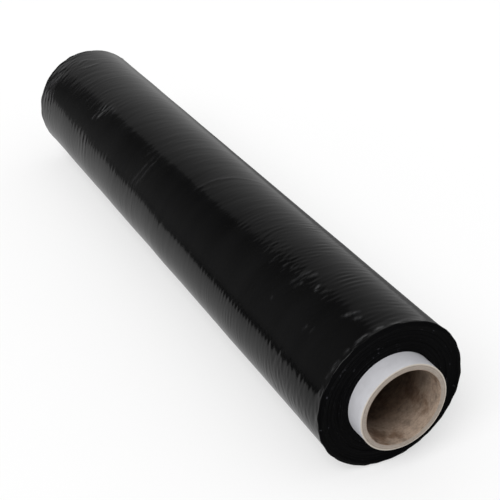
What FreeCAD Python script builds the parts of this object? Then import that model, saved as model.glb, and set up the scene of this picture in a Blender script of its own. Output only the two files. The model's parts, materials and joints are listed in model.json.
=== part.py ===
# Stretch wrap roll: film wound tight on a paper tube that stands proud of it at each end.
#
# The roll lies on its side along X, with a small flat spot where the soft turns give under
# their own weight. The origin is under the middle of the roll, on the surface that carries
# it, and +Z is up. Lengths are in millimetres.
import FreeCAD, Part
import math
import os

import Sketcher
from FreeCAD import Vector

# Driving dimensions: name, size and what it measures.
SIZES = (
    ("film_width", 500, "width of the web, along the roll"),
    ("film_diameter", 97, "outside of the wound film"),
    ("flat_width", 11, "width of the flat spot that the roll lies on"),
    ("rim_round", 1.8, "radius of the rounded edge at each end of the film"),
    ("turn_depth", 0.4, "deepest that a band of turns sits back from the film's end"),
    ("core_bore", 50, "inside of the paper tube"),
    ("core_wall", 4, "wall of the paper tube"),
    ("core_proud", 13, "length of tube beyond the film at each end"),
)

# Bands of turns that show on each end of the film, and how unevenly they were wound.
TURN_BANDS = 8
BAND_WANDER = 2.4

# Formulas of the driving dimensions that several features share.
FILM_RADIUS = "(sizes.film_diameter / 2)"
CORE_RADIUS = "(sizes.core_bore / 2 + sizes.core_wall)"
AXIS_HEIGHT = "sqrt((sizes.film_diameter / 2)^2 - (sizes.flat_width / 2)^2)"
BAND_TOP = "(sizes.film_diameter / 2 - sizes.rim_round)"
BAND_STEP = f"(({BAND_TOP} - {CORE_RADIUS}) / {TURN_BANDS})"

# A sketch counts the points of an edge in this order, and its own axes backwards from zero.
# Its origin is the start of its level axis.
POINTS = ("edge", "start", "end", "centre")
START, END, CENTRE = (POINTS.index(point) for point in ("start", "end", "centre"))
AXES = ("none", "level", "upright")
ORIGIN, UPRIGHT_AXIS = (-AXES.index(axis) for axis in ("level", "upright"))


def make_sheet(doc):
    """Spreadsheet of the driving dimensions, one row each, read by its names."""
    sheet = doc.addObject("Spreadsheet::Sheet", "sizes")
    for row, (name, size, meaning) in enumerate(SIZES, start=1):
        sheet.set(f"A{row}", meaning)
        sheet.set(f"B{row}", str(size))
        sheet.setAlias(f"B{row}", name)
    return sheet


def make_body(doc, name):
    """Empty body of one sub-part, with its own axis at the height of the roll's axis."""
    body = doc.addObject("PartDesign::Body", name)
    body.Label = name
    body.setExpression("Placement.Base.z", AXIS_HEIGHT)
    return body


def origin_plane(body, role):
    """Plane of the body's own origin, such as YZ_Plane."""
    for feature in body.Origin.OriginFeatures:
        if feature.Role == role:
            return feature
    raise RuntimeError(f"{body.Label} has no {role}")


def make_sketch(body, name, role):
    """Empty sketch on one of the body's origin planes."""
    sketch = body.newObject("Sketcher::SketchObject", name)
    sketch.AttachmentSupport = [(origin_plane(body, role), "")]
    sketch.MapMode = "FlatFace"
    return sketch


def measure(sheet, formula):
    """Size in millimetres that a formula of the driving dimensions comes to."""
    return float(sheet.evalExpression(formula))


def drive(sketch, name, formula, kind, *points):
    """Dimension a sketch and bind the dimension to a formula of the sizes."""
    size = measure(sketch.Document.sizes, formula)
    index = sketch.addConstraint(Sketcher.Constraint(kind, *points, size))
    sketch.renameConstraint(index, name)
    sketch.setExpression(f"Constraints.{name}", formula)


def add_edges(sketch, corners):
    """Straight edges through the corners, each joined to the one before; their numbers."""
    edges = []
    for start, end in zip(corners, corners[1:]):
        segment = Part.LineSegment(Vector(*start, 0), Vector(*end, 0))
        edges.append(sketch.addGeometry(segment, False))
        level = math.isclose(start[1], end[1])
        kind = "Horizontal" if level else "Vertical"
        sketch.addConstraint(Sketcher.Constraint(kind, edges[-1]))
    for before, after in zip(edges, edges[1:]):
        sketch.addConstraint(Sketcher.Constraint("Coincident", before, END, after, START))
    return edges


def band_reach(band):
    """How far along the roll one band of turns ends; band 0 is at the rim, level with it."""
    share = 0.5 - 0.5 * math.cos(BAND_WANDER * band)
    return f"(sizes.film_width / 2 - {share:.3f} * sizes.turn_depth)"


def band_foot(band):
    """Radius at which one band of turns meets the next band inwards, or the tube."""
    return f"({BAND_TOP} - {band + 1} * {BAND_STEP})"


def draw_wound_section(body, sheet):
    """Section of half the film, from mid-length to one end, on one side of the axis.

    The end is stepped, because each band of turns was wound a little to one side of the
    last, and its outermost edge is rounded.
    """
    sketch = make_sketch(body, "wound_section", "XZ_Plane")
    film_radius = measure(sheet, FILM_RADIUS)
    band_top = measure(sheet, BAND_TOP)
    core_radius = measure(sheet, CORE_RADIUS)
    half_width = measure(sheet, "sizes.film_width / 2")
    rim_start = half_width - (film_radius - band_top)

    corners = [(0, core_radius)]
    for band in reversed(range(TURN_BANDS)):
        reach = measure(sheet, band_reach(band))
        foot = measure(sheet, band_foot(band))
        corners.append((reach, foot))
        corners.append((reach, foot + measure(sheet, BAND_STEP)))
    inner_edges = add_edges(sketch, corners)
    outer_edges = add_edges(sketch, [(rim_start, film_radius), (0, film_radius), corners[0]])
    outside, middle = outer_edges
    rim_circle = Part.Circle(Vector(rim_start, band_top, 0), Vector(0, 0, 1),
                             film_radius - band_top)
    rim = sketch.addGeometry(Part.ArcOfCircle(rim_circle, 0, math.pi / 2), False)

    sketch.addConstraint(Sketcher.Constraint("Tangent", inner_edges[-1], END, rim, START))
    sketch.addConstraint(Sketcher.Constraint("Tangent", rim, END, outside, START))
    sketch.addConstraint(Sketcher.Constraint("Coincident", middle, END, inner_edges[0], START))
    sketch.addConstraint(Sketcher.Constraint("PointOnObject", middle, START, UPRIGHT_AXIS))

    drive(sketch, "rim", "sizes.rim_round", "Radius", rim)
    drive(sketch, "outside", FILM_RADIUS, "DistanceY", ORIGIN, START, outside, START)
    for place, band in enumerate(reversed(range(TURN_BANDS))):
        step = inner_edges[2 * place]
        face = inner_edges[2 * place + 1]
        drive(sketch, f"foot_{band}", band_foot(band), "DistanceY", ORIGIN, START, step, END)
        drive(sketch, f"reach_{band}", band_reach(band), "DistanceX", ORIGIN, START, face, END)
    return sketch


def draw_flat(body, sheet):
    """Oblong that takes in all of the film below the surface that the roll lies on."""
    sketch = make_sketch(body, "under_surface", "YZ_Plane")
    side = measure(sheet, FILM_RADIUS)
    floor = -measure(sheet, "sizes.film_diameter")
    surface = -measure(sheet, AXIS_HEIGHT)
    corners = [(-side, surface), (-side, floor), (side, floor), (side, surface),
               (-side, surface)]
    left, bottom, right, top = add_edges(sketch, corners)
    sketch.addConstraint(Sketcher.Constraint("Coincident", top, END, left, START))
    drive(sketch, "left", FILM_RADIUS, "DistanceX", left, START, ORIGIN, START)
    drive(sketch, "right", FILM_RADIUS, "DistanceX", ORIGIN, START, right, START)
    drive(sketch, "below", "sizes.film_diameter", "DistanceY", bottom, START, ORIGIN, START)
    drive(sketch, "surface", AXIS_HEIGHT, "DistanceY", top, START, ORIGIN, START)
    return sketch


def make_film_roll(doc, sheet):
    """All the turns of film as one solid: hollow, rounded at its rims, flat underneath."""
    body = make_body(doc, "film_roll")

    half = body.newObject("PartDesign::Revolution", "wound_half")
    half.Profile = draw_wound_section(body, sheet)
    half.ReferenceAxis = (half.Profile[0], ["H_Axis"])
    half.Angle = 360

    whole = body.newObject("PartDesign::Mirrored", "wound_whole")
    whole.Originals = [half]
    whole.MirrorPlane = (origin_plane(body, "YZ_Plane"), [""])
    body.Tip = whole
    doc.recompute()

    flat = body.newObject("PartDesign::Pocket", "flat_spot")
    flat.Profile = draw_flat(body, sheet)
    flat.SideType = "Symmetric"
    flat.Type = "ThroughAll"
    body.Tip = flat
    doc.recompute()

    if whole.Shape.Volume <= half.Shape.Volume:
        raise RuntimeError("the film has only one half")
    if flat.Shape.Volume >= whole.Shape.Volume:
        raise RuntimeError("the flat spot took nothing off the film")
    return body


def make_core_tube(doc, sheet):
    """Wound paper tube, cut square, in one length from end to end."""
    body = make_body(doc, "core_tube")

    section = make_sketch(body, "tube_section", "YZ_Plane")
    for name, formula in (("bore", "(sizes.core_bore / 2)"), ("outside", CORE_RADIUS)):
        circle = Part.Circle(Vector(0, 0, 0), Vector(0, 0, 1), measure(sheet, formula))
        ring = section.addGeometry(circle, False)
        section.addConstraint(Sketcher.Constraint("Coincident", ring, CENTRE, ORIGIN, START))
        drive(section, name, formula, "Radius", ring)

    tube = body.newObject("PartDesign::Pad", "tube_length")
    tube.Profile = section
    tube.SideType = "Symmetric"
    tube.setExpression("Length", "sizes.film_width + 2 * sizes.core_proud")
    body.Tip = tube
    doc.recompute()
    return body


def check_model(doc, bodies):
    """Stop if any feature failed or any sub-part isn't one sound solid."""
    for item in doc.Objects:
        if "Invalid" in item.State or "Error" in item.State:
            raise RuntimeError(f"{item.Label} failed: {item.State}")
    for body in bodies:
        if body.Shape.isNull() or not body.Shape.isValid():
            raise RuntimeError(f"{body.Label} has no sound shape")
        if len(body.Shape.Solids) != 1:
            raise RuntimeError(f"{body.Label} isn't one solid")


def write_parts(bodies):
    """One STEP file for each sub-part, named after it."""
    os.makedirs("parts", exist_ok=True)
    for body in bodies:
        body.Shape.exportStep(f"parts/{body.Label}.step")
        print(f"{body.Label}: {body.Shape.Volume:.1f} mm3")


def main():
    """Build the roll's two sub-parts from the sheet, check them and write them out."""
    doc = FreeCAD.newDocument("stretch_wrap_roll")
    sheet = make_sheet(doc)
    doc.recompute()
    bodies = [make_film_roll(doc, sheet), make_core_tube(doc, sheet)]
    doc.recompute()
    check_model(doc, bodies)
    write_parts(bodies)


main()
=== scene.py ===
"""Looks of a stretch wrap roll: black glossy film wound tight on a paper tube.

Every length is in metres, in the row's frame: X runs along the roll, Z is up, and the origin
is under the middle of the roll on the surface that it lies on. A place on the roll is given
by how far along it lies (x) and by its turn, the angle round the axis from the top towards
the front (-Y).
"""
import json
import math

import bpy
import numpy as np
from bpy.props import FloatProperty, FloatVectorProperty, IntProperty, PointerProperty
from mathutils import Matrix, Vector


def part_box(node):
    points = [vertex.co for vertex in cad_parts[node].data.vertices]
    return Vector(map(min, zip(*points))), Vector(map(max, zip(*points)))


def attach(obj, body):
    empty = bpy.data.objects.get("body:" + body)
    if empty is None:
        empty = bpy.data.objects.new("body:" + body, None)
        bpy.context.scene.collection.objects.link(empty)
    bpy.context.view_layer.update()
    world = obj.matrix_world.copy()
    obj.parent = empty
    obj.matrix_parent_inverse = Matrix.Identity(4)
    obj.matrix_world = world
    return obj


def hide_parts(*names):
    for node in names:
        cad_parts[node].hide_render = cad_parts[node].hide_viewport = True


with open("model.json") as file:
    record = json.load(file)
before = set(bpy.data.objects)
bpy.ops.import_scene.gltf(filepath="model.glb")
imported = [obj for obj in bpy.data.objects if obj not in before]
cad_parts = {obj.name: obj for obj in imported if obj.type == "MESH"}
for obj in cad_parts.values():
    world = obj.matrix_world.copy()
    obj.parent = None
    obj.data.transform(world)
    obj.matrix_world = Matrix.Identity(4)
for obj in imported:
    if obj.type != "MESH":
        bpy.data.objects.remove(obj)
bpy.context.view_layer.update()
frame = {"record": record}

bl_info = {
    "name": "Stretch wrap roll",
    "version": (1, 0, 0),
    "blender": (4, 5, 0),
    "location": "3D View > Sidebar > Wrap Roll",
    "description": "Dresses the solids of a stretch wrap roll: film, paper tube and studio",
    "category": "Add Mesh",
}

# Sizes that the solids give.
BORE = next(mount for mount in frame["record"]["mounts"] if mount["name"] == "core_bore")
AXIS_HEIGHT = BORE["pos_m"][2]
BORE_RADIUS = BORE["dims"]["r_mm"] / 1000  # the record has it in millimetres
FILM_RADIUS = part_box("film_roll")[1].z - AXIS_HEIGHT
FILM_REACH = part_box("film_roll")[1].x
CORE_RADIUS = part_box("core_tube")[1].z - AXIS_HEIGHT
CORE_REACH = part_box("core_tube")[1].x

FULL_TURN = 2 * math.pi
WHITE = (1, 1, 1, 1)
SENSOR_WIDTH = 36.0

# Numbers of the Mix node's colour sockets, coming in and going out.
MIX_COLOURS = (6, 7)
MIX_RESULT = 2

# Slow waves of the film's surface: height, seed, length, spread, lobes and lean.
WAVES = (
    (0.00005, 11, 0.075, 0.4, 2, 0),
    (0.000010, 12, 0.017, 0.4, 4, 5),
    (0.000007, 13, 0.008, 0.3, 10, 8),
    (0.000006, 20, 0.0052, 0.2, 14, 10),
)

# Crumpled patches: where each starts and ends along the roll and how softly, the same round
# it in degrees of turn, and how much the film is crumpled there. They lie under the near
# end's gloss, near the far end, low on the front and along the far rim.
CRUMPLED = (
    (0.105, 0.232, 0.035, 8, 44, 9, 1.9),
    (-0.146, -0.120, 0.006, 24, 48, 6, 0.8),
    (0.165, 0.256, 0.03, 66, 118, 10, 1.3),
    (-0.256, -0.216, 0.01, 10, 96, 12, 2.6),
)

# Fine ripples: on the upper side past the middle, low on the front, and on the far half.
UPPER_RIPPLES_FROM = (0.04, 0.14)  # places between which they set in
UNDER_TURNS = (60, 126, 12)  # turns in degrees between which they lie, and how softly they end
UNDER_STRENGTH = ((-0.08, 0.4), (0.0, 0.4), (0.03, 0.15), (0.085, 0.15), (0.105, 1.45),
                  (0.17, 1.3), (0.21, 0.9))  # by place
FAR_RIPPLES_TO = (-0.08, 0.02)  # places between which they fade out
FAR_STRENGTH = 0.38
FAR_UNDER_STRENGTH = 0.67  # what they gain low on the front
FAR_PITCH = 0.0058

# Rims and ends of the film, whose outermost turns are loose and frayed.
RIM_REACH = 0.0024  # how far in from the rim the loose edges fade
RIM_CRINKLE = 0.00017  # how high they crinkle
RIM_WAVE = 0.00010  # how high they wave
FAR_LOOSENESS = 0.15  # share of their flare at the far end
RELIEF_DEPTH = 0.004  # how far down an end the relief of the outer turn fades
FRAYED_REACH = 0.006  # how far down an end the turns are frayed
FRAYED_DEPTH = 0.0002
END_ROUGHNESS = 0.00005
END_EDGE = 0.0005  # half the height over which the roughness fades at the rim
OUTER_RIM_RINGS = 3  # rings of faces at a rim that look like the outer turn
BAND_WANDER = 2.4  # how unevenly the bands of turns were wound, as the solids have it

# Loose end of the film.
TAIL_SWAY = math.radians(1.2)  # how far it strays from a straight line
TAIL_SHARE = 0.15  # share of a column of faces that its step takes

# Share of its length over which a crease fades in, and out.
CREASE_FADE = (-0.1, 0.3)

# Creases that run round the film: turn at both ends in degrees, place along the roll at the
# start, middle and end, height, half width, and how pale the film is painted along the crease,
# partly as the whitening of stretched film and partly as painted highlight where it catches
# light.
CREASES = (
    (77, 26, -0.0420, -0.0318, -0.0315, 0.00006, 0.0010, 0.26),
    (76, 29, -0.0365, -0.0258, -0.0255, 0.00005, 0.0010, 0.26),
    (40, 28, -0.0400, -0.0380, -0.0350, 0.00005, 0.0011, 0.15),
    (34, -30, 0.036, 0.043, 0.059, 0.00014, 0.0013, 0.10),
    (30, 12, 0.042, 0.045, 0.048, 0.00008, 0.0010, 0.10),
    (32, 20, 0.034, 0.037, 0.040, 0.00008, 0.0010, 0.10),
    (51, 41, -0.1394, -0.1384, -0.1373, 0.00009, 0.0009, 1.00),
    (48, 40, -0.1328, -0.1324, -0.1320, 0.00009, 0.0008, 0.70),
    (46, 36, -0.1331, -0.1320, -0.1309, 0.00011, 0.0009, 1.00),
    (41, 31, -0.1314, -0.1303, -0.1291, 0.00011, 0.0009, 1.00),
    (35, 26, -0.1288, -0.1301, -0.1314, 0.00010, 0.0008, 0.90),
    (41, 31, -0.1384, -0.1399, -0.1414, 0.00010, 0.0008, 0.60),
    (39, 30, -0.1340, -0.1354, -0.1368, 0.00010, 0.0008, 0.80),
    (32, 25, -0.1254, -0.1262, -0.1270, 0.00010, 0.0008, 0.60),
    (34, 26, -0.1202, -0.1203, -0.1204, 0.00010, 0.0008, 0.40),
    (37, 28, -0.1266, -0.1272, -0.1280, -0.00014, 0.0009, 0),
    (42, 32, -0.1352, -0.1364, -0.1376, -0.00014, 0.0009, 0),
    (43, 35, -0.1282, -0.1276, -0.1270, -0.00012, 0.0009, 0),
    (99, 66, -0.1440, -0.1400, -0.1425, 0.00020, 0.0012, 0.25),
    (96, 64, -0.1372, -0.1335, -0.1355, 0.00018, 0.0012, 0.25),
    (92, 70, -0.1500, -0.1470, -0.1490, 0.00014, 0.0012, 0.15),
    (60, 26, -0.2495, -0.2420, -0.2330, 0.00020, 0.0012, 0.70),
    (70, 34, -0.2490, -0.2400, -0.2310, 0.00022, 0.0012, 0.70),
    (76, 38, -0.2470, -0.2375, -0.2280, 0.00022, 0.0012, 0.70),
    (78, 44, -0.2440, -0.2345, -0.2260, 0.00018, 0.0012, 0.60),
    (66, 30, -0.2440, -0.2360, -0.2270, -0.00020, 0.0012, 0.40),
    (80, 56, -0.2400, -0.2330, -0.2270, 0.00018, 0.0012, 0.40),
    (50, 22, -0.2480, -0.2410, -0.2340, 0.00018, 0.0012, 0.60),
    (88, 62, -0.2470, -0.2400, -0.2330, 0.00018, 0.0012, 0.40),
    (42, 18, -0.2470, -0.2420, -0.2380, 0.00016, 0.0012, 0.50),
    (56, 36, -0.2350, -0.2300, -0.2240, 0.00014, 0.0012, 0.40),
    (21, 2, -0.227, -0.229, -0.220, 0.00022, 0.0014, 0.30),
    (24, 1, -0.219, -0.213, -0.215, 0.00022, 0.0014, 0.25),
    (80, 64, 0.020, 0.023, 0.027, -0.00016, 0.0014, 0),
    (84, 66, 0.196, 0.199, 0.204, -0.00018, 0.0014, 0),
    (86, 68, 0.206, 0.209, 0.214, -0.00016, 0.0014, 0),
    (24, 12, 0.2235, 0.2255, 0.2275, 0.00016, 0.0010, 0.80),
    (20, 13, 0.2300, 0.2315, 0.2330, 0.00016, 0.0010, 0.50),
    (32, 24, 0.1793, 0.1801, 0.1808, 0.00010, 0.0009, 0.45),
    (33, 24, 0.1734, 0.1745, 0.1755, 0.00008, 0.0008, 0.35),
    (25, 14, 0.1748, 0.1757, 0.1767, 0.00012, 0.0008, 0.50),
    (24, 17, 0.1936, 0.1919, 0.1902, 0.00018, 0.0010, 0.90),
    (21, 12, 0.1797, 0.1804, 0.1811, 0.00014, 0.0008, 0.60),
    (25, 18, 0.1626, 0.1655, 0.1684, 0.00012, 0.0009, 0.30),
    (27, 18, 0.1832, 0.1839, 0.1846, -0.00016, 0.0010, 0),
    (24, 15, 0.1690, 0.1697, 0.1704, -0.00014, 0.0010, 0),
    (22, 14, 0.1978, 0.1987, 0.1996, 0.00012, 0.0009, 0.40),
    (32, 25, 0.1474, 0.1478, 0.1481, 0.00010, 0.0009, 0.15),
    (29, 22, 0.1583, 0.1586, 0.1588, 0.00010, 0.0009, 0.20),
    (48, 43, 0.2090, 0.2100, 0.2115, 0.00008, 0.0008, 0.35),
    (46, 41, 0.2150, 0.2158, 0.2160, 0.00008, 0.0008, 0.30),
    (50, 46, 0.1708, 0.1712, 0.1718, 0.00006, 0.0008, 0.25),
    (76, 66, 0.2470, 0.2466, 0.2472, 0.00020, 0.0009, 0.30),
    (60, 57, 0.2462, 0.2460, 0.2465, 0.00016, 0.0009, 0.60),
    (55, 46, 0.2472, 0.2468, 0.2474, 0.00022, 0.0009, 1.00),
    (40, 36, 0.2464, 0.2462, 0.2466, 0.00016, 0.0009, 0.50),
    (32, 19, 0.2474, 0.2466, 0.2474, 0.00022, 0.0009, 1.00),
    (15, 8, 0.2470, 0.2468, 0.2474, 0.00020, 0.0009, 1.00),
)

# Paper tube. The last two are depths: of the outer ply's cut edge under the outside, where it
# starts to show and shows in full, and of the painted shade that darkens the bore deeper in,
# where it is darkest and ends.
JOINT_TURN = math.radians(-150)  # where the ply's joint meets the near end
CUT_RINGS = 8  # rings of faces across the cut end
CUT_ROUGHNESS = 0.00008
WALL_WAVE = 0.00005
OUTER_PLY = (0.0009, 0.0004)
PAINTED_SHADE_DEPTHS = (0.055, 0.002)

# What the film's gloss shows of the studio, as a vault over the roll: an arch, with black
# cloth at the front and pale paper at the back, and a ground.
VAULT_PLACES = (-3.0, -2.0, -1.5, -1.3, -1.18, -1.1, -1.05, -0.98, -0.88, -0.78, -0.67, -0.58,
                -0.51, -0.44, -0.39, -0.35, -0.31, -0.27, -0.19, -0.1, 0.0, 0.03, 0.12,
                0.35, 0.51, 0.67, 0.88, 1.1, 1.3)
VAULT_CENTRE = 0.05
VAULT_RADIUS = 0.5
VAULT_LIMIT = 98  # degrees from straight up to the arch's foot

# The cloth's edge by place, in degrees from straight up towards the back, how soft it is by
# place, and the arch's brightness by degrees past that edge.
CLOTH_EDGE = ((-1.3, -62), (-1.18, -52), (-1.1, -41), (-1.05, -31), (-0.98, -27), (-0.88, -23),
              (-0.78, -21), (-0.67, -17), (-0.58, -16), (-0.51, -13), (-0.44, -9), (-0.39, -5),
              (-0.35, -1), (-0.31, 3), (-0.27, 5), (-0.19, 9))
CLOTH_SOFTNESS = ((-0.9, 0.6), (-0.5, 1.2), (-0.25, 4.0))
VAULT_LEVELS = ((-200, 0.12), (-104, 0.13), (-64, 0.13), (-34, 0.08), (-14, 0.04),
                (0, 0.05), (0, 0.22), (16, 0.28), (36, 0.37), (60, 0.46), (90, 0.53),
                (200, 0.55))
CLOTH_BELOW = 0.1  # at its edge the cloth is darker than this, and the paper is brighter

# The ground, from front to back. The last two are the brightness behind the roll by place,
# and how much of it each distance across has.
GROUND_HEIGHT = 0.0006
GROUND_FRONT = -0.6
FRONT_LEVEL = 0.10
SHADE_FROM = (0.10, 0.07)  # how far in front of the sheet its shade starts and is full
SHEET_SHADE = ((-0.3, 0.10), (-0.12, 0.01))  # brightness of the shade by place
SHEET_EDGE = ((-1.1, -0.47), (-0.78, -0.37), (-0.48, -0.25), (-0.3, -0.22), (-0.1, -0.18),
              (0.03, -0.17))  # front edge, by place, of the sheet that the roll lies on
SHEET_SOFTNESS = 0.003
SHEET_EDGE_LEVEL = 0.46
SHEET_LEVELS = ((-0.10, 0.52), (0.0, 0.42))  # brightness of the sheet across the roll
BACK_SHEET = ((-0.5, 0.40), (-0.3, 0.21))
BACK_SHARES = ((0.10, 1.0), (0.22, 0.75), (0.36, 1.1), (0.60, 1.3))

# Past this place the vault is turned round, with the paper at the front, and is brighter by
# a gain that goes by place.
TURNED_FROM = 0.3
TURNED_GAIN = ((0.35, 1.0), (0.51, 2.2))

# Lit panels that the gloss shows on the roll's sides: degrees from straight up towards the
# back for their edges and for where their light is full, then how much brighter they are
# there than at their edges. Their places go from edge to edge in the same way.
PANELS = (
    ("front_panel", (-66, -62, -36, -32), 1.7),
    ("back_panel", (34, 44, 62, 72), 1.2),
)
PANEL_PLACES = (0.10, 0.15, 1.24, 1.29)
PANEL_RADIUS = 0.46
PANEL_EDGE_LEVEL = 0.13


class FilmSettings(bpy.types.PropertyGroup):
    """Sizes and colours of the wound film."""

    columns: IntProperty(
        name="Columns", description="Columns of faces round the film", default=144, min=24)
    fine_from: FloatProperty(
        name="Fine From", description="Place past which the rings of faces lie closer",
        default=-0.05, unit="LENGTH")
    fine_step: FloatProperty(
        name="Fine Step", description="Distance between rings where ripples show",
        default=0.00080, unit="LENGTH")
    plain_step: FloatProperty(
        name="Plain Step", description="Distance between rings elsewhere",
        default=0.00108, unit="LENGTH")
    rim_round: FloatProperty(
        name="Rim Round", description="Radius of the rounded rims",
        default=0.0010, unit="LENGTH")
    rim_flare: FloatProperty(
        name="Rim Flare", description="How far the loose edges of the film stand up at the rims",
        default=0.00080, unit="LENGTH")
    edge_stray: FloatProperty(
        name="Edge Stray", description="How far the outermost edges stray out along the roll",
        default=0.00105, unit="LENGTH")
    turn_depth: FloatProperty(
        name="Turn Depth", description="Deepest that a band of turns sits back from the end",
        default=0.0004, unit="LENGTH")
    turn_bands: IntProperty(
        name="Turn Bands", description="Bands of turns on each end", default=8, min=1)
    ripple_pitch: FloatProperty(
        name="Ripple Pitch", description="Distance between the fine ripples round the film",
        default=0.0043, unit="LENGTH")
    under_pitch: FloatProperty(
        name="Under Pitch", description="Distance between the ripples low on the front",
        default=0.0037, unit="LENGTH")
    ripple_height: FloatProperty(
        name="Ripple Height", description="Height of the fine ripples",
        default=0.000022, unit="LENGTH")
    crumple_height: FloatProperty(
        name="Crumple Height", description="Height of the crumples in the crumpled patches",
        default=0.000034, unit="LENGTH")
    tail_step: FloatProperty(
        name="Tail Step", description="Height of the loose end of the film",
        default=0.00012, unit="LENGTH")
    tail_turn: FloatProperty(
        name="Tail Turn", description="Where round the roll the loose end lies",
        default=math.radians(-118), subtype="ANGLE")
    colour: FloatVectorProperty(
        name="Film", description="Colour of the film", subtype="COLOR",
        default=(0.0030, 0.0030, 0.0031), min=0, max=1)
    # Painted highlight along the creases, partly the whitening of stretched film.
    whitened_and_glint_colour: FloatVectorProperty(
        name="Stretched Film", description="Colour of the film where a crease stretches it",
        subtype="COLOR", default=(0.055, 0.055, 0.057), min=0, max=1)
    end_colour: FloatVectorProperty(
        name="Film Ends", description="Colour of the stacked edges of the film",
        subtype="COLOR", default=(0.0012, 0.0012, 0.0014), min=0, max=1)


class CoreSettings(bpy.types.PropertyGroup):
    """Sizes and colours of the paper tube."""

    columns: IntProperty(
        name="Columns", description="Columns of faces round the tube", default=96, min=24)
    ring_step: FloatProperty(
        name="Ring Step", description="Distance between rings along the tube",
        default=0.0025, unit="LENGTH")
    ply_advance: FloatProperty(
        name="Ply Advance", description="How far the spiral ply moves along in one turn",
        default=0.12, unit="LENGTH")
    seam_depth: FloatProperty(
        name="Seam Depth", description="Depth of the joint between turns of the ply",
        default=0.00010, unit="LENGTH")
    seam_width: FloatProperty(
        name="Seam Width", description="Width of the joint between turns of the ply",
        default=0.0005, unit="LENGTH")
    edge_round: FloatProperty(
        name="Edge Round", description="Radius of the tube's cut edges",
        default=0.00035, unit="LENGTH")
    outer_colour: FloatVectorProperty(
        name="Outer Ply", description="Colour of the white outer ply", subtype="COLOR",
        default=(0.515, 0.515, 0.542), min=0, max=1)
    cut_colour: FloatVectorProperty(
        name="Cut End", description="Colour of the cut board", subtype="COLOR",
        default=(0.268, 0.230, 0.197), min=0, max=1)
    edge_colour: FloatVectorProperty(
        name="Cut Edge", description="Colour of the outer ply where it is cut",
        subtype="COLOR", default=(0.49, 0.45, 0.395), min=0, max=1)
    bore_colour: FloatVectorProperty(
        name="Bore", description="Colour of the inside ply", subtype="COLOR",
        default=(0.360, 0.278, 0.216), min=0, max=1)


class StageSettings(bpy.types.PropertyGroup):
    """Floor, lights and camera."""

    camera_place: FloatVectorProperty(
        name="Camera Place", description="Where the camera stands", subtype="TRANSLATION",
        default=(0.6556, -0.2999, 0.4320))
    camera_azimuth: FloatProperty(
        name="Camera Azimuth", description="Direction of the camera round the roll",
        default=math.radians(62.79), subtype="ANGLE")
    camera_elevation: FloatProperty(
        name="Camera Elevation", description="How far the camera looks down",
        default=math.radians(30.0), subtype="ANGLE")
    camera_lens: FloatProperty(
        name="Camera Lens", description="Focal length in millimetres on a 36 mm sensor",
        default=78.13)
    floor_colour: FloatVectorProperty(
        name="Floor", description="Colour of the floor", subtype="COLOR",
        default=(0.96, 0.96, 0.96), min=0, max=1)
    floor_paleness: FloatProperty(
        name="Floor Paleness", description="How far the floor and its shadow fade to white",
        default=0.5, min=0, max=1)
    floor_size: FloatProperty(
        name="Floor Size", description="Side of the floor", default=16.0, unit="LENGTH")
    ambient_level: FloatProperty(
        name="Ambient Level", description="Even light from all round", default=0.66)
    key_strength: FloatProperty(
        name="Key Strength", description="Strength of the key light", default=1.75)
    key_spread: FloatProperty(
        name="Key Spread", description="How wide the key light looks, which softens shadows",
        default=math.radians(40), subtype="ANGLE")
    key_direction: FloatVectorProperty(
        name="Key Direction", description="Direction that the key light comes from",
        subtype="DIRECTION", default=(0.38, -0.58, 0.72))


def wander(places, turns, seed, length, spread, lobes, lean=0, waves=16):
    """Smooth variation over the roll, about one unit high: waves of about one length along
    it, give or take the spread, that go round it lean times, give or take the lobes."""
    draw = np.random.default_rng(seed)
    total = 0
    for _ in range(waves):
        pitch = length * draw.uniform(1 - spread, 1 + spread)
        around = int(draw.integers(lean - lobes, lean + lobes + 1))
        phase = draw.uniform(0, FULL_TURN)
        total = total + np.sin(FULL_TURN * places / pitch + around * turns + phase)
    return total / math.sqrt(waves / 2)


def ease(values, start, end):
    """Rise smoothly from 0 at start to 1 at end."""
    share = np.clip((values - start) / (end - start), 0, 1)
    return share * share * (3 - 2 * share)


def follow(place, pairs):
    """Value at each place, between (place, value) pairs."""
    return np.interp(place, *zip(*pairs))


def patch(values, start, end, edge):
    """1 between start and end, fading to 0 at both over a length of edge."""
    return ease(values, start, start + edge) * (1 - ease(values, end - edge, end))


def crease_height(places, turns, crease):
    """Height of one crease over the film: a soft ridge that fades out at both its ends."""
    first, last, start, middle, end, height, half_width = crease[:7]
    share = (np.degrees(turns) - first) / (last - first)
    within = ease(share, *CREASE_FADE) * ease(1 - share, *CREASE_FADE)
    bend = 2 * middle - (start + end) / 2
    line = (1 - share) ** 2 * start + 2 * share * (1 - share) * bend + share ** 2 * end
    across = (places - line) / half_width
    return height * within * np.exp(-across * across)


def crumpling(places, turns):
    """Where the film is crumpled, and how much."""
    degrees = np.degrees(turns)
    amount = 0
    for start, end, edge, first, last, fade, share in CRUMPLED:
        spot = patch(places, start, end, edge) * patch(degrees, first, last, fade)
        amount = amount + share * spot
    return amount


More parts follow.
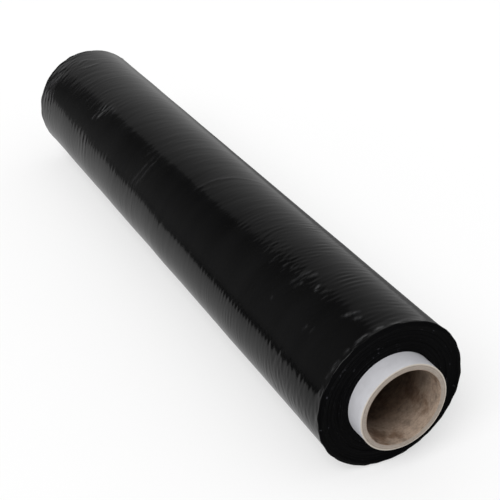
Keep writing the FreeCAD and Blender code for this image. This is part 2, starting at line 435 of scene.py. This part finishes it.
def film_ripples(places, turns, film):
    """Height of the fine ripples that the winding left round the film."""
    under = patch(np.degrees(turns), *UNDER_TURNS)
    patchy = wander(places, turns, seed=14, length=0.035, spread=0.4, lobes=6)
    upper_strength = ease(places, *UPPER_RIPPLES_FROM) * np.clip(0.9 + 0.4 * patchy, 0.3, 1.6)
    upper_strength = upper_strength * (1 - 0.5 * np.clip(crumpling(places, turns), 0, 1))
    under_strength = follow(places, UNDER_STRENGTH)
    far_strength = FAR_STRENGTH + FAR_UNDER_STRENGTH * under
    far_strength = (1 - ease(places, *FAR_RIPPLES_TO)) * far_strength
    upper = wander(places, turns, seed=15, length=film.ripple_pitch, spread=0.18, lobes=20,
                   lean=8, waves=24)
    lower = wander(places, turns, seed=22, length=film.under_pitch, spread=0.2, lobes=14,
                   lean=6, waves=24)
    far = wander(places, turns, seed=23, length=FAR_PITCH, spread=0.45, lobes=32, lean=6,
                 waves=24)
    return film.ripple_height * (upper_strength * (1 - under) * upper
                                 + under_strength * under * lower + far_strength * far)


def film_relief(places, turns, film):
    """Height of the outer turn over a plain cylinder, at each place and turn."""
    relief = 0
    for height, seed, length, spread, lobes, lean in WAVES:
        relief = relief + height * wander(places, turns, seed, length, spread, lobes, lean)
    relief = relief + film_ripples(places, turns, film)
    crumple = wander(places, turns, seed=21, length=0.0050, spread=0.45, lobes=40, lean=4,
                     waves=32)
    relief = relief + film.crumple_height * crumpling(places, turns) * crumple
    relief = relief + sum(crease_height(places, turns, crease) for crease in CREASES)
    to_rim = FILM_REACH - np.abs(places)
    crinkle = wander(places, turns, seed=16, length=0.005, spread=0.4, lobes=44)
    wave = wander(places, turns, seed=24, length=0.03, spread=0.4, lobes=22)
    loose = FAR_LOOSENESS + (1 - FAR_LOOSENESS) * ease(places, -0.1, 0.1)
    flare = film.rim_flare * loose + RIM_CRINKLE * crinkle + RIM_WAVE * wave
    relief = relief + flare * np.exp(-to_rim / RIM_REACH)
    since_tail = np.mod(turns - film.tail_turn, FULL_TURN) / FULL_TURN
    return relief - film.tail_step * since_tail


def crease_whitening_and_glint(places, turns):
    """How pale the film is painted along its creases, from 0 to 1: partly the whitening of
    stretched film, partly painted highlight where the creases catch light.
    """
    whitening_and_glint = 0
    for crease in CREASES:
        whitening_and_glint = whitening_and_glint + crease[7] * crease_height(places, turns, crease) / crease[5]
    return np.clip(whitening_and_glint, 0, 1)


def film_half_rings(film):
    """Rings of an end of the film, from its outer turn over the rim to the tube: distance
    back from the end, and radius."""
    top = FILM_RADIUS - film.rim_round
    rings = []
    for degrees in (75, 60, 45, 30, 15):
        angle = math.radians(degrees)
        back = film.rim_round * (1 - math.cos(angle))
        rings.append((back, top + film.rim_round * math.sin(angle)))
    band_height = (top - CORE_RADIUS) / film.turn_bands
    for band in range(film.turn_bands):
        back = film.turn_depth * (0.5 - 0.5 * math.cos(BAND_WANDER * band))
        for share in (0.02, 0.25, 0.5, 0.75, 0.98):
            rings.append((back, top - (band + share) * band_height))
    rings.append((rings[-1][0], CORE_RADIUS))
    return rings


def film_rings(film):
    """Every ring of the film, from the far end's inside over the outer turn to the near
    end's: place along the roll and radius."""
    half = film_half_rings(film)
    straight = FILM_REACH - film.rim_round
    plain_count = round((film.fine_from + straight) / film.plain_step)
    fine_count = round((straight - film.fine_from) / film.fine_step)
    plain = np.linspace(-straight, film.fine_from, plain_count, endpoint=False)
    fine = np.linspace(film.fine_from, straight, fine_count)
    far = [(back - FILM_REACH, radius) for back, radius in reversed(half)]
    near = [(FILM_REACH - back, radius) for back, radius in half]
    outer = [(place, FILM_RADIUS) for place in np.concatenate([plain, fine])]
    return np.array(far + outer + near), len(half)


def film_points(film):
    """Points of the film, one row for each ring and one column for each place round it."""
    rings, half = film_rings(film)
    places = rings[:, :1]
    radii = rings[:, 1:]
    step = FULL_TURN / film.columns
    turns = film.tail_turn + step * np.arange(film.columns)
    turns = np.append(turns, film.tail_turn + FULL_TURN - TAIL_SHARE * step)[None, :]
    stray = wander(places, 0 * turns, seed=17, length=0.16, spread=0.4, lobes=0)
    lapped = turns + TAIL_SWAY * stray
    lapped = np.mod(lapped + math.pi, FULL_TURN) - math.pi
    top = FILM_RADIUS - film.rim_round
    share = ease(radii, top - RELIEF_DEPTH, top)
    radii = radii + share * film_relief(places, lapped, film)
    facing = np.sign(places) * (1 - ease(radii, top - END_EDGE, top + END_EDGE))
    uneven = wander(radii, lapped, seed=18, length=0.004, spread=0.5, lobes=3)
    frayed = wander(radii, lapped, seed=19, length=0.02, spread=0.4, lobes=14)
    outermost = ease(radii, top - FRAYED_REACH, top)
    setback = END_ROUGHNESS * uneven + (FRAYED_DEPTH * frayed - film.edge_stray) * outermost
    # How pale the film is painted along its creases: painted highlight, partly stretch
    # whitening.
    stretch = crease_whitening_and_glint(places, lapped) * share
    return roll_points(places - facing * setback, radii, lapped), stretch, half


def roll_points(places, radii, turns):
    """Points in the row's frame; what would reach under the surface lies flat on it."""
    across = -radii * np.sin(turns)
    up = np.maximum(AXIS_HEIGHT + radii * np.cos(turns), 0)
    return np.stack([places + 0 * across, across, up], axis=-1)


def ring_mesh(name, points, slots):
    """Closed mesh through a grid of points: rows follow one another and the last joins the
    first, and so do columns. slots gives each row of faces its material's number."""
    rows, columns = points.shape[:2]
    row, column = np.meshgrid(np.arange(rows), np.arange(columns), indexing="ij")
    next_row = (row + 1) % rows
    next_column = (column + 1) % columns
    corners = np.stack([row * columns + column, row * columns + next_column,
                        next_row * columns + next_column, next_row * columns + column], axis=-1)
    mesh = bpy.data.meshes.new(name)
    mesh.from_pydata(points.reshape(-1, 3).tolist(), [], corners.reshape(-1, 4).tolist())
    mesh.polygons.foreach_set("material_index", np.repeat(slots, columns).astype(np.int32))
    mesh.shade_smooth()
    mesh.validate()
    return mesh


def point_values(mesh, name, values):
    """Store one number for each point of a mesh, for its material to read."""
    stored = mesh.attributes.new(name, "FLOAT", "POINT")
    stored.data.foreach_set("value", np.asarray(values, np.float32).ravel())


def add_piece(name, mesh, materials, node):
    """Object that stands for one solid of the frame and rides where it does."""
    for material in materials:
        mesh.materials.append(material)
    piece = bpy.data.objects.new(name, mesh)
    bpy.context.scene.collection.objects.link(piece)
    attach(piece, "root")
    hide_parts(node)


def start_material(name):
    """New material: its node tree and its main shader."""
    material = bpy.data.materials.new(name)
    material.use_nodes = True
    tree = material.node_tree
    return material, tree, tree.nodes["Principled BSDF"]


def set_inputs(tree, node, inputs):
    """Set a node's inputs, each to a value or to the socket that feeds it."""
    for name, value in inputs.items():
        if isinstance(value, bpy.types.NodeSocket):
            tree.links.new(value, node.inputs[name])
        else:
            node.inputs[name].default_value = value


def add_node(tree, kind, settings=None, inputs=None):
    """Add one shader node with its settings and inputs."""
    node = tree.nodes.new(kind)
    for name, value in (settings or {}).items():
        setattr(node, name, value)
    set_inputs(tree, node, inputs or {})
    return node


def compute(tree, operation, *values):
    """Result of one calculation with numbers or sockets."""
    node = add_node(tree, "ShaderNodeMath", {"operation": operation}, dict(enumerate(values)))
    return node.outputs["Value"]


def remap(tree, value, start, end, low=0.0, high=1.0):
    """The value stretched from start and end to low and high, and held at these beyond."""
    node = add_node(tree, "ShaderNodeMapRange", inputs={
        "Value": value, "From Min": start, "From Max": end, "To Min": low, "To Max": high})
    return node.outputs["Result"]


def mix_colours(tree, factor, first, second, blend="MIX"):
    """The second colour blended into the first."""
    node = add_node(tree, "ShaderNodeMix", {"data_type": "RGBA", "blend_type": blend},
                    {"Factor": factor, **dict(zip(MIX_COLOURS, (first, second)))})
    return node.outputs[MIX_RESULT]


def bump(tree, height, strength, distance, under=None):
    """Shading normal of a rough surface, over another such normal if there is one."""
    inputs = {"Height": height, "Strength": strength, "Distance": distance}
    if under is not None:
        inputs["Normal"] = under
    return add_node(tree, "ShaderNodeBump", inputs=inputs).outputs["Normal"]


def object_point(tree):
    """The shaded point, in the row's frame."""
    return add_node(tree, "ShaderNodeTexCoord").outputs["Object"]


def stretched_noise(tree, scale, stretch, detail, roughness=0.5):
    """Noise over the object, with its own scale along X and stretched round the roll."""
    scaled = add_node(tree, "ShaderNodeMapping", inputs={
        "Vector": object_point(tree), "Scale": (scale, scale / stretch, scale / stretch)})
    noise = add_node(tree, "ShaderNodeTexNoise", inputs={
        "Vector": scaled.outputs["Vector"], "Scale": 1.0, "Detail": detail,
        "Roughness": roughness})
    return noise.outputs["Fac"]


def banded_noise(tree, measure, scale, detail):
    """Noise that changes only with one measure, such as the radius."""
    noise = add_node(tree, "ShaderNodeTexNoise", {"noise_dimensions": "1D"}, {
        "W": measure, "Scale": scale, "Detail": detail})
    return noise.outputs["Fac"]


def radius_of(tree):
    """Distance of the shaded point from the roll's axis."""
    point = object_point(tree)
    for operation, vector in (("SUBTRACT", (0, 0, AXIS_HEIGHT)), ("MULTIPLY", (0, 1, 1))):
        point = add_node(tree, "ShaderNodeVectorMath", {"operation": operation},
                         {0: point, 1: vector}).outputs["Vector"]
    length = add_node(tree, "ShaderNodeVectorMath", {"operation": "LENGTH"}, {0: point})
    return length.outputs["Value"]


def ramp(tree, fac, stops):
    """Colour ramp through (position, colour) stops."""
    node = add_node(tree, "ShaderNodeValToRGB", inputs={"Fac": fac})
    elements = node.color_ramp.elements
    while len(elements) < len(stops):
        elements.new(0.5)
    for element, (position, colour) in zip(elements, stops):
        element.position = position
        element.color = (*colour, 1)
    return node.outputs["Color"]


def shade(colour, factor):
    """The colour made lighter or darker by a factor."""
    return tuple(min(1, part * factor) for part in colour)


def film_material(film):
    """Glossy black film: smooth, with fine wrinkles round the roll, faint haze, and paler,
    broken streaks along the creases: painted highlight where they catch light, and partly the
    whitening of stretched film."""
    material, tree, shader = start_material("black_film")
    haze = stretched_noise(tree, 60, 5, 4)
    colour = ramp(tree, haze, ((0.3, shade(film.colour, 0.8)), (0.75, shade(film.colour, 1.4))))
    # Painted highlight along the creases, partly stretch whitening: the film is made paler
    # there.
    whitening_and_glint = add_node(tree, "ShaderNodeAttribute", {"attribute_name": "stretch"}).outputs["Fac"]
    broken = remap(tree, stretched_noise(tree, 640, 4.0, 2), 0.40, 0.56, 0.15, 1.0)
    paleness = compute(tree, "MULTIPLY", whitening_and_glint, broken)
    puckers = bump(tree, stretched_noise(tree, 210, 9, 2), 0.6, 0.0001)
    set_inputs(tree, shader, {
        "Base Color": mix_colours(tree, paleness, colour, (*film.whitened_and_glint_colour, 1)),
        "Roughness": remap(tree, stretched_noise(tree, 110, 9, 3), 0.0, 1.0, 0.09, 0.17),
        "IOR": 1.5,
        "Specular IOR Level": 0.28,
        "Normal": bump(tree, stretched_noise(tree, 520, 14, 3), 0.6, 0.00006, puckers)})
    return material


def film_end_material(film):
    """Stacked edges of the film: nearly matt black, in fine rings, with small nicks and
    pale flecks."""
    material, tree, shader = start_material("film_edges")
    rings = banded_noise(tree, radius_of(tree), 2400, 4)
    colour = ramp(tree, rings,
                  ((0.35, shade(film.end_colour, 0.8)), (0.7, shade(film.end_colour, 1.6))))
    flecks = ramp(tree, stretched_noise(tree, 330, 1, 2, 0.7), (
        (0.68, (0, 0, 0)), (0.75, shade(film.end_colour, 26))))
    grooves = bump(tree, rings, 0.35, 0.0002)
    set_inputs(tree, shader, {
        "Base Color": mix_colours(tree, 1.0, colour, flecks, "ADD"),
        "Roughness": 0.5,
        "Specular IOR Level": 0.03,
        "Normal": bump(tree, stretched_noise(tree, 700, 1.5, 2), 0.4, 0.0002, grooves)})
    return material


class WRAPROLL_OT_film(bpy.types.Operator):
    """Build the wound film with its ripples, creases, rims and end turns"""

    bl_idname = "wraproll.film"
    bl_label = "Wound Film"

    def execute(self, context):
        film = context.scene.wraproll_film
        points, stretch, half = film_points(film)
        rows = len(points)
        slots = np.zeros(rows, int)
        ends = half - OUTER_RIM_RINGS
        slots[:ends] = 1
        slots[rows - ends - 1:] = 1
        mesh = ring_mesh("wound_film", points, slots)
        # Painted crease highlight, partly stretch whitening, for the film's material to read.
        point_values(mesh, "stretch", stretch)
        add_piece("wound_film", mesh, [film_material(film), film_end_material(film)],
                  "film_roll")
        return {"FINISHED"}


def core_rings(core):
    """Rings of the tube: out along the bore, over the near end, back along the outside and
    over the far end. Place along the roll, radius and material's number."""
    count = round(2 * CORE_REACH / core.ring_step)
    straight = CORE_REACH - core.edge_round
    arc = [math.radians(degrees) for degrees in (30, 60)]
    inner = BORE_RADIUS + core.edge_round
    outer = CORE_RADIUS - core.edge_round
    run = np.linspace(-straight, straight, count)
    end = [(straight + core.edge_round * math.sin(a), inner - core.edge_round * math.cos(a), 2)
           for a in arc]
    end += [(CORE_REACH, radius, 1) for radius in np.linspace(inner, outer, CUT_RINGS)]
    end += [(straight + core.edge_round * math.cos(a), outer + core.edge_round * math.sin(a), 1)
            for a in arc]
    rings = [(place, BORE_RADIUS, 2) for place in run]
    rings += end
    rings += [(place, CORE_RADIUS, 0) for place in run[::-1]]
    rings += [(-place, radius, slot) for place, radius, slot in reversed(end)]
    return rings


def core_points(core):
    """Points of the tube, in columns that follow its spiral ply, so that the joint between
    turns of the ply is one groove along a column."""
    rings = core_rings(core)
    places = np.array([ring[0] for ring in rings])[:, None]
    radii = np.array([ring[1] for ring in rings])[:, None]
    half_seam = core.seam_width / CORE_RADIUS
    even = np.linspace(0, FULL_TURN, core.columns, endpoint=False)
    angles = np.sort(np.concatenate([even, [half_seam, FULL_TURN - half_seam,
                                            math.pi - half_seam, math.pi + half_seam]]))
    in_outer = (angles == 0)[None, :]
    in_bore = np.isclose(angles, math.pi)[None, :]
    turns = angles[None, :] + JOINT_TURN + FULL_TURN * (places - CORE_REACH) / core.ply_advance
    seam = np.where(radii > (BORE_RADIUS + CORE_RADIUS) / 2, -1.0 * in_outer, 1.0 * in_bore)
    radii = radii + core.seam_depth * seam
    at_end = (np.abs(places) > CORE_REACH - 1e-6)
    cut = wander(radii, turns, seed=31, length=0.0016, spread=0.4, lobes=18)
    rough = CUT_ROUGHNESS * cut * at_end
    wave = wander(places, turns, seed=32, length=0.02, spread=0.5, lobes=5)
    radii = radii + WALL_WAVE * wave
    return roll_points(places - np.sign(places) * np.abs(rough), radii, turns), rings


def outer_ply_material(core):
    """White paper: matt, very slightly mottled, with fine fibre."""
    material, tree, shader = start_material("white_ply")
    set_inputs(tree, shader, {
        "Base Color": ramp(tree, stretched_noise(tree, 140, 1.5, 5, 0.6), (
            (0.3, shade(core.outer_colour, 0.93)), (0.7, shade(core.outer_colour, 1.05)))),
        "Roughness": 0.62,
        "Specular IOR Level": 0.3,
        "Normal": bump(tree, stretched_noise(tree, 1500, 2, 3), 0.35, 0.00006)})
    return material


def cut_board_material(core):
    """Sawn end of the tube: rings of pressed plies with a rough, fibrous cut, and the cut
    edge of the pale outer ply."""
    material, tree, shader = start_material("cut_board")
    plies = banded_noise(tree, radius_of(tree), 1900, 2)
    pulp = compute(tree, "MULTIPLY_ADD", stretched_noise(tree, 420, 1, 4, 0.65), 0.7, plies)
    colour = ramp(tree, pulp, (
        (0.55, shade(core.cut_colour, 0.78)), (1.0, shade(core.cut_colour, 1.22))))
    inner, outer = (CORE_RADIUS - depth for depth in OUTER_PLY)
    at_edge = remap(tree, radius_of(tree), inner, outer)
    set_inputs(tree, shader, {
        "Base Color": mix_colours(tree, at_edge, colour, (*core.edge_colour, 1)),
        "Roughness": 0.85,
        "Specular IOR Level": 0.2,
        "Normal": bump(tree, pulp, 0.7, 0.00015)})
    return material


def bore_material(core):
    """Grey-brown inside ply: blotched, with painted shade that darkens it deeper in from the
    ends, with fine fibre and faint rings near the cut."""
    material, tree, shader = start_material("bore_ply")
    colour = ramp(tree, stretched_noise(tree, 190, 1.3, 5, 0.66), (
        (0.32, shade(core.bore_colour, 0.62)), (0.48, shade(core.bore_colour, 0.95)),
        (0.70, shade(core.bore_colour, 1.15))))
    along = add_node(tree, "ShaderNodeSeparateXYZ", inputs={"Vector": object_point(tree)})
    from_middle = compute(tree, "ABSOLUTE", along.outputs["X"])
    deep, shallow = (CORE_REACH - depth for depth in PAINTED_SHADE_DEPTHS)
    # Painted shade: the ply is coloured darker deeper in from the ends, where less light
    # reaches.
    painted_depth_shade = ramp(tree, remap(tree, from_middle, deep, shallow), (
        (0.0, (0.10, 0.070, 0.050)), (0.55, (0.20, 0.155, 0.125)), (0.92, (1, 1, 1))))
    stains = ramp(tree, stretched_noise(tree, 75, 1.2, 4, 0.6), (
        (0.38, (0.48, 0.38, 0.31)), (0.52, (1, 1, 1))))
    grain = stretched_noise(tree, 900, 1.5, 4, 0.65)
    fibre = ramp(tree, grain, ((0.3, (0.60, 0.58, 0.56)), (0.6, (1, 1, 1))))
    rings = ramp(tree, banded_noise(tree, from_middle, 900, 3), (
        (0.35, (0.72, 0.70, 0.68)), (0.6, (1, 1, 1))))
    for share, layer in ((0.9, painted_depth_shade), (0.8, stains), (0.6, fibre), (0.35, rings)):
        colour = mix_colours(tree, share, colour, layer, "MULTIPLY")
    set_inputs(tree, shader, {
        "Base Color": colour,
        "Roughness": 0.75,
        "Specular IOR Level": 0.25,
        "Normal": bump(tree, grain, 0.4, 0.0001)})
    return material


class WRAPROLL_OT_core(bpy.types.Operator):
    """Build the paper tube with its white outside, cut ends and spiral joint"""

    bl_idname = "wraproll.core"
    bl_label = "Paper Tube"

    def execute(self, context):
        core = context.scene.wraproll_core
        points, rings = core_points(core)
        slots = np.array([ring[2] for ring in rings])
        mesh = ring_mesh("paper_tube", points, slots)
        add_piece("paper_tube", mesh,
                  [outer_ply_material(core), cut_board_material(core), bore_material(core)],
                  "core_tube")
        return {"FINISHED"}


def flat_card(name, corners, material):
    """Flat or folded card through rows of corners, as part of the stage."""
    rows = len(corners)
    columns = len(corners[0])
    points = [point for row in corners for point in row]
    faces = []
    for row in range(rows - 1):
        for column in range(columns - 1):
            first = row * columns + column
            faces.append((first, first + 1, first + columns + 1, first + columns))
    mesh = bpy.data.meshes.new(name)
    mesh.from_pydata(points, [], faces)
    mesh.materials.append(material)
    card = bpy.data.objects.new(name, mesh)
    bpy.context.scene.collection.objects.link(card)
    return card


def seen_directly(tree):
    """1 where the camera looks at a surface, straight, in gloss or through glass."""
    path = add_node(tree, "ShaderNodeLightPath").outputs
    seen = compute(tree, "MAXIMUM", path["Is Camera Ray"], path["Is Glossy Ray"])
    return compute(tree, "MAXIMUM", seen, path["Is Transmission Ray"])


def floor_material(stage):
    """Plain pale floor, which looks white but keeps a soft shadow."""
    material, tree, shader = start_material("floor")
    tint = ramp(tree, stretched_noise(tree, 3, 1, 2), (
        (0.0, shade(stage.floor_colour, 0.995)), (1.0, stage.floor_colour)))
    set_inputs(tree, shader, {"Base Color": tint, "Roughness": 1.0, "Specular IOR Level": 0.0})
    white = add_node(tree, "ShaderNodeEmission", inputs={"Color": WHITE, "Strength": 1.0})
    paleness = compute(tree, "MULTIPLY", seen_directly(tree), stage.floor_paleness)
    mixed = add_node(tree, "ShaderNodeMixShader", inputs={
        0: paleness, 1: shader.outputs["BSDF"], 2: white.outputs["Emission"]})
    set_inputs(tree, tree.nodes["Material Output"], {"Surface": mixed.outputs["Shader"]})
    return material


def glow_material(name):
    """Glow of a card, at the level that each of its points holds."""
    material, tree, shader = start_material(f"{name}_glow")
    tree.nodes.remove(shader)
    level = add_node(tree, "ShaderNodeAttribute", {"attribute_name": "level"})
    glow = add_node(tree, "ShaderNodeEmission", inputs={"Strength": level.outputs["Fac"]})
    set_inputs(tree, tree.nodes["Material Output"], {"Surface": glow.outputs["Emission"]})
    return material


def vault_row(place):
    """One row of the vault: its points over the floor, then those of its arch, each with how
    far it lies across the roll, how high, and its brightness."""
    edge = follow(place, CLOTH_EDGE)
    soft = follow(place, CLOTH_SOFTNESS)
    sheet = follow(place, SHEET_EDGE)
    behind = follow(place, BACK_SHEET)
    shaded = follow(place, SHEET_SHADE)
    outer, inner = SHADE_FROM
    levels = [(GROUND_FRONT, FRONT_LEVEL), (sheet - outer, FRONT_LEVEL),
              (sheet - inner, shaded), (sheet - SHEET_SOFTNESS, shaded),
              (sheet + SHEET_SOFTNESS, SHEET_EDGE_LEVEL), *SHEET_LEVELS]
    levels += [(across, behind * share) for across, share in BACK_SHARES]
    ground = [(across, GROUND_HEIGHT, brightness) for across, brightness in levels]
    arch = []
    for past, brightness in reversed(VAULT_LEVELS):
        # The dark and the bright level at the cloth's edge stand apart by its softness.
        if past == 0:
            past = soft if brightness > CLOTH_BELOW else -soft
        angle = math.radians(min(max(edge + past, -VAULT_LIMIT), VAULT_LIMIT))
        up = VAULT_CENTRE + VAULT_RADIUS * math.cos(angle)
        arch.append((VAULT_RADIUS * math.sin(angle), up, brightness))
    return ground, arch


def turned_round(points, gain):
    """The same points seen from the roll's other side, still from front to back in order,
    with their brightness raised."""
    return [(-across, up, gain * brightness) for across, up, brightness in reversed(points)]


def add_reflection(name, rows, levels):
    """Glowing card that only gloss shows, with a brightness for each of its points."""
    card = flat_card(name, rows, glow_material(name))
    point_values(card.data, "level", levels)
    card.visible_camera = False
    card.visible_diffuse = False
    card.visible_transmission = False
    card.visible_shadow = False


def add_panels():
    """Lit panels in front of the vault, brightest inside their edges."""
    inside = np.array([0, 1, 1, 0])
    for name, edges, brightness in PANELS:
        rows = []
        for place in PANEL_PLACES:
            rows.append([])
            for edge in edges:
                angle = math.radians(edge)
                up = VAULT_CENTRE + PANEL_RADIUS * math.cos(angle)
                rows[-1].append((place, PANEL_RADIUS * math.sin(angle), up))
        levels = PANEL_EDGE_LEVEL + brightness * np.outer(inside, inside)
        add_reflection(name, rows, levels)


def add_vault():
    """Vault over the roll that only its gloss shows: black cloth at the front, pale paper at
    the back, and the sheet that the roll lies on."""
    rows = []
    levels = []
    for place in VAULT_PLACES:
        if place < TURNED_FROM:
            ground, arch = vault_row(place)
        else:
            gain = follow(place, TURNED_GAIN)
            ground, arch = (turned_round(run, gain) for run in vault_row(-place))
        rows.append([(place, across, up) for across, up, _ in ground + arch])
        levels.append([brightness for _, _, brightness in ground + arch])
    add_reflection("vault", rows, levels)


def set_world(stage):
    """White all round for the camera and in gloss, and even soft light for the rest."""
    world = bpy.data.worlds.new("studio")
    bpy.context.scene.world = world
    world.use_nodes = True
    tree = world.node_tree
    tree.nodes.clear()
    light = add_node(tree, "ShaderNodeBackground", inputs={
        "Color": WHITE, "Strength": stage.ambient_level})
    white = add_node(tree, "ShaderNodeBackground", inputs={"Color": WHITE, "Strength": 1.0})
    mixed = add_node(tree, "ShaderNodeMixShader", inputs={
        0: seen_directly(tree), 1: light.outputs["Background"],
        2: white.outputs["Background"]})
    add_node(tree, "ShaderNodeOutputWorld", inputs={"Surface": mixed.outputs["Shader"]})


def add_key_light(stage):
    """Broad soft key light from the front and the near end; the gloss doesn't show it."""
    data = bpy.data.lights.new("key_light", "SUN")
    data.energy = stage.key_strength
    data.angle = stage.key_spread
    lamp = bpy.data.objects.new("key_light", data)
    lamp.rotation_mode = "QUATERNION"
    lamp.rotation_quaternion = Vector(stage.key_direction).to_track_quat("Z", "Y")
    lamp.visible_glossy = False
    bpy.context.scene.collection.objects.link(lamp)


def add_camera(stage):
    """Camera at the photograph's place, looking down at the roll."""
    data = bpy.data.cameras.new("camera")
    data.lens = stage.camera_lens
    data.sensor_width = SENSOR_WIDTH
    camera = bpy.data.objects.new("camera", data)
    camera.location = stage.camera_place
    level = math.cos(stage.camera_elevation)
    back = Vector((math.sin(stage.camera_azimuth) * level,
                   -math.cos(stage.camera_azimuth) * level,
                   math.sin(stage.camera_elevation)))
    camera.rotation_mode = "QUATERNION"
    camera.rotation_quaternion = back.to_track_quat("Z", "Y")
    bpy.context.scene.collection.objects.link(camera)
    bpy.context.scene.camera = camera


class WRAPROLL_OT_stage(bpy.types.Operator):
    """Lay the floor and set up the studio's light, cards and camera"""

    bl_idname = "wraproll.stage"
    bl_label = "Studio"

    def execute(self, context):
        stage = context.scene.wraproll_stage
        half = stage.floor_size / 2
        flat_card("floor", (((-half, -half, 0), (half, -half, 0)),
                            ((-half, half, 0), (half, half, 0))), floor_material(stage))
        add_vault()
        add_panels()
        set_world(stage)
        add_key_light(stage)
        add_camera(stage)
        context.scene.view_settings.view_transform = "Standard"
        return {"FINISHED"}


class WRAPROLL_PT_panel(bpy.types.Panel):
    """Steps that dress the roll"""

    bl_idname = "WRAPROLL_PT_panel"
    bl_label = "Wrap Roll"
    bl_space_type = "VIEW_3D"
    bl_region_type = "UI"
    bl_category = "Wrap Roll"

    def draw(self, context):
        for operator in OPERATORS:
            self.layout.operator(operator.bl_idname)
        for group in (context.scene.wraproll_film, context.scene.wraproll_core,
                      context.scene.wraproll_stage):
            box = self.layout.box()
            for name in group.bl_rna.properties.keys():
                if name not in ("rna_type", "name"):
                    box.prop(group, name)


SETTINGS = (FilmSettings, CoreSettings, StageSettings)
OPERATORS = (WRAPROLL_OT_film, WRAPROLL_OT_core, WRAPROLL_OT_stage)


def register():
    """Add the settings, steps and panel to Blender."""
    for item in (*SETTINGS, *OPERATORS, WRAPROLL_PT_panel):
        bpy.utils.register_class(item)
    bpy.types.Scene.wraproll_film = PointerProperty(type=FilmSettings)
    bpy.types.Scene.wraproll_core = PointerProperty(type=CoreSettings)
    bpy.types.Scene.wraproll_stage = PointerProperty(type=StageSettings)


def unregister():
    """Take them out again."""
    del bpy.types.Scene.wraproll_stage
    del bpy.types.Scene.wraproll_core
    del bpy.types.Scene.wraproll_film
    for item in reversed((*SETTINGS, *OPERATORS, WRAPROLL_PT_panel)):
        bpy.utils.unregister_class(item)


def main():
    """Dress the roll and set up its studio."""
    register()
    bpy.ops.wraproll.film()
    bpy.ops.wraproll.core()
    bpy.ops.wraproll.stage()


if __name__ == "__main__":
    main()
